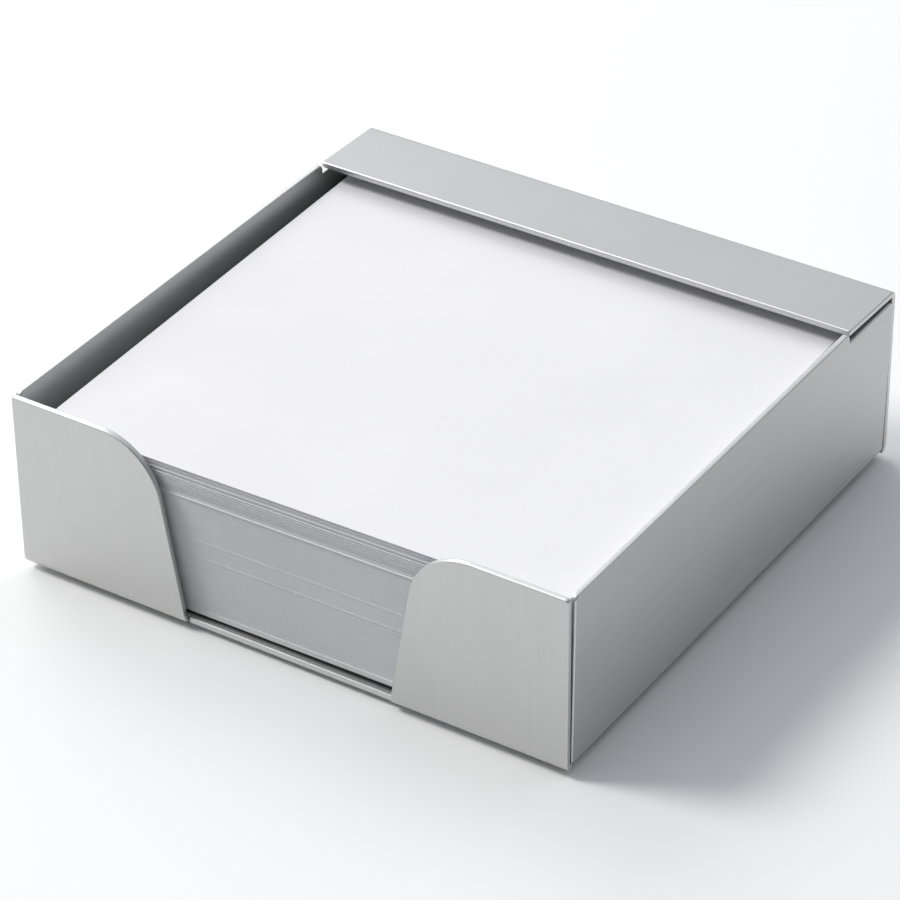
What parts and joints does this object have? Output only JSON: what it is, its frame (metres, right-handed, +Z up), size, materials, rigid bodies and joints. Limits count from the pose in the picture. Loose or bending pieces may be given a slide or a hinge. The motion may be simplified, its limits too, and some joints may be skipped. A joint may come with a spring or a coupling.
{
  "type": "memo holder",
  "caption": "Folded sheet-metal desk tray for loose square memo sheets, with a tapered finger slot between two front tabs and a flat lip over the back.",
  "frame": {"origin": "on the desk, under the middle of the tray", "axes": "+X right along the front, +Y from the front to the back, +Z up"},
  "size_m": [0.0968, 0.096, 0.031],
  "materials": {
    "tray_aluminium": "satin",
    "paper": "uncoated white paper",
    "board": "plain pale card",
    "liner_foam": "matte",
    "pad_rubber": "matte"
  },
  "bodies": {
    "tray": {"tray": "tray_aluminium", "base_liner": "liner_foam", "foot_front_left": "pad_rubber", "foot_front_right": "pad_rubber", "foot_back_left": "pad_rubber", "foot_back_right": "pad_rubber"},
    "stack": {"backing_board": "board", "memo_sheets_01": "paper", "memo_sheets_02": "paper", "memo_sheets_03": "paper", "memo_sheets_04": "paper", "memo_sheets_05": "paper", "memo_sheets_06": "paper", "memo_sheets_07": "paper", "memo_sheets_08": "paper", "memo_sheets_09": "paper", "memo_sheets_10": "paper", "memo_sheets_11": "paper", "memo_sheets_12": "paper", "memo_sheets_13": "paper", "memo_sheets_14": "paper", "memo_sheets_15": "paper", "memo_sheets_16": "paper", "memo_sheets_17": "paper", "memo_sheets_18": "paper", "memo_sheets_19": "paper", "memo_sheets_20": "paper", "memo_sheets_21": "paper", "memo_sheets_22": "paper", "memo_sheets_23": "paper", "memo_sheets_24": "paper", "memo_sheets_25": "paper", "memo_sheets_26": "paper", "memo_sheets_27": "paper", "memo_sheets_28": "paper", "memo_sheets_29": "paper", "memo_sheets_30": "paper", "memo_sheets_31": "paper", "memo_sheets_32": "paper", "memo_sheets_33": "paper", "memo_sheets_34": "paper", "memo_sheets_35": "paper", "memo_sheets_36": "paper", "memo_sheets_37": "paper", "memo_sheets_38": "paper", "memo_sheets_39": "paper", "memo_sheets_40": "paper"},
    "top_sheet": {"top_sheet": "paper"}
  },
  "joints": [
    {"name": "stack_shift", "type": "slide", "parent": "tray", "child": "stack", "axis": [-1, 0, 0], "range_m": [0, 0.0019]},
    {"name": "top_sheet_lift", "type": "hinge", "parent": "stack", "child": "top_sheet", "pos_m": [-0.00012, 0.0441, 0.02772], "axis": [-0.9998, -0.0192, 0], "range_deg": [0, 10]}
  ]
}
